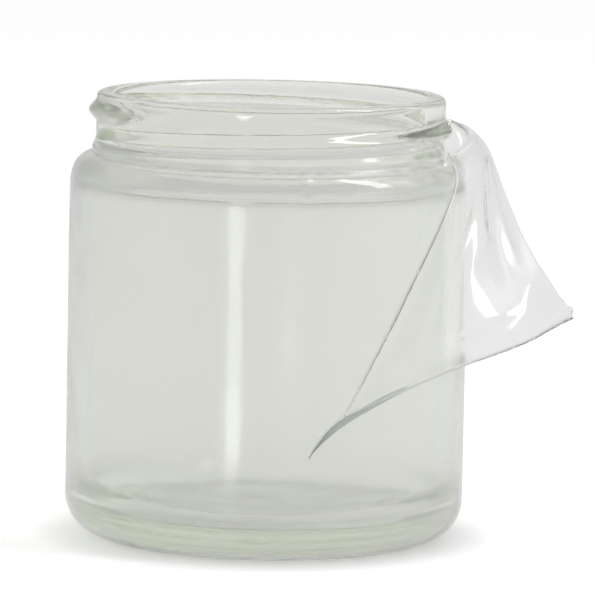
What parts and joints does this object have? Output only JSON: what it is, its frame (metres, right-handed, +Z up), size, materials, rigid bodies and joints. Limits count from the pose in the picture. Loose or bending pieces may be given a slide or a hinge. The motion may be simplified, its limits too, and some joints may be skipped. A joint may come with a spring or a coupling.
{
  "type": "disinfectant jar",
  "caption": "Clear wide-mouth screw-neck glass jar with a clear vinyl safety coating, slit at the side and partly peeled back as a flap.",
  "frame": {"origin": "on the jar's axis, in the plane that it stands on", "axes": "+Z up along the jar's axis and out of its mouth; -Y is the front, and the peeled flap stands out to +X"},
  "size_m": [0.0782, 0.0626, 0.0695],
  "materials": {
    "clear_glass": "polished clear flint glass",
    "clear_vinyl": "glossy clear soft vinyl"
  },
  "bodies": {
    "jar": {"glass_jar": "clear_glass", "safety_coating": "clear_vinyl"},
    "flap": {"peeled_flap": "clear_vinyl"}
  },
  "joints": [
    {"name": "flap_bend", "type": "hinge", "parent": "jar", "child": "flap", "pos_m": [0.02267, -0.02114, 0.044], "axis": [-0.3591, -0.3851, -0.8501], "range_deg": [0, 60]}
  ]
}
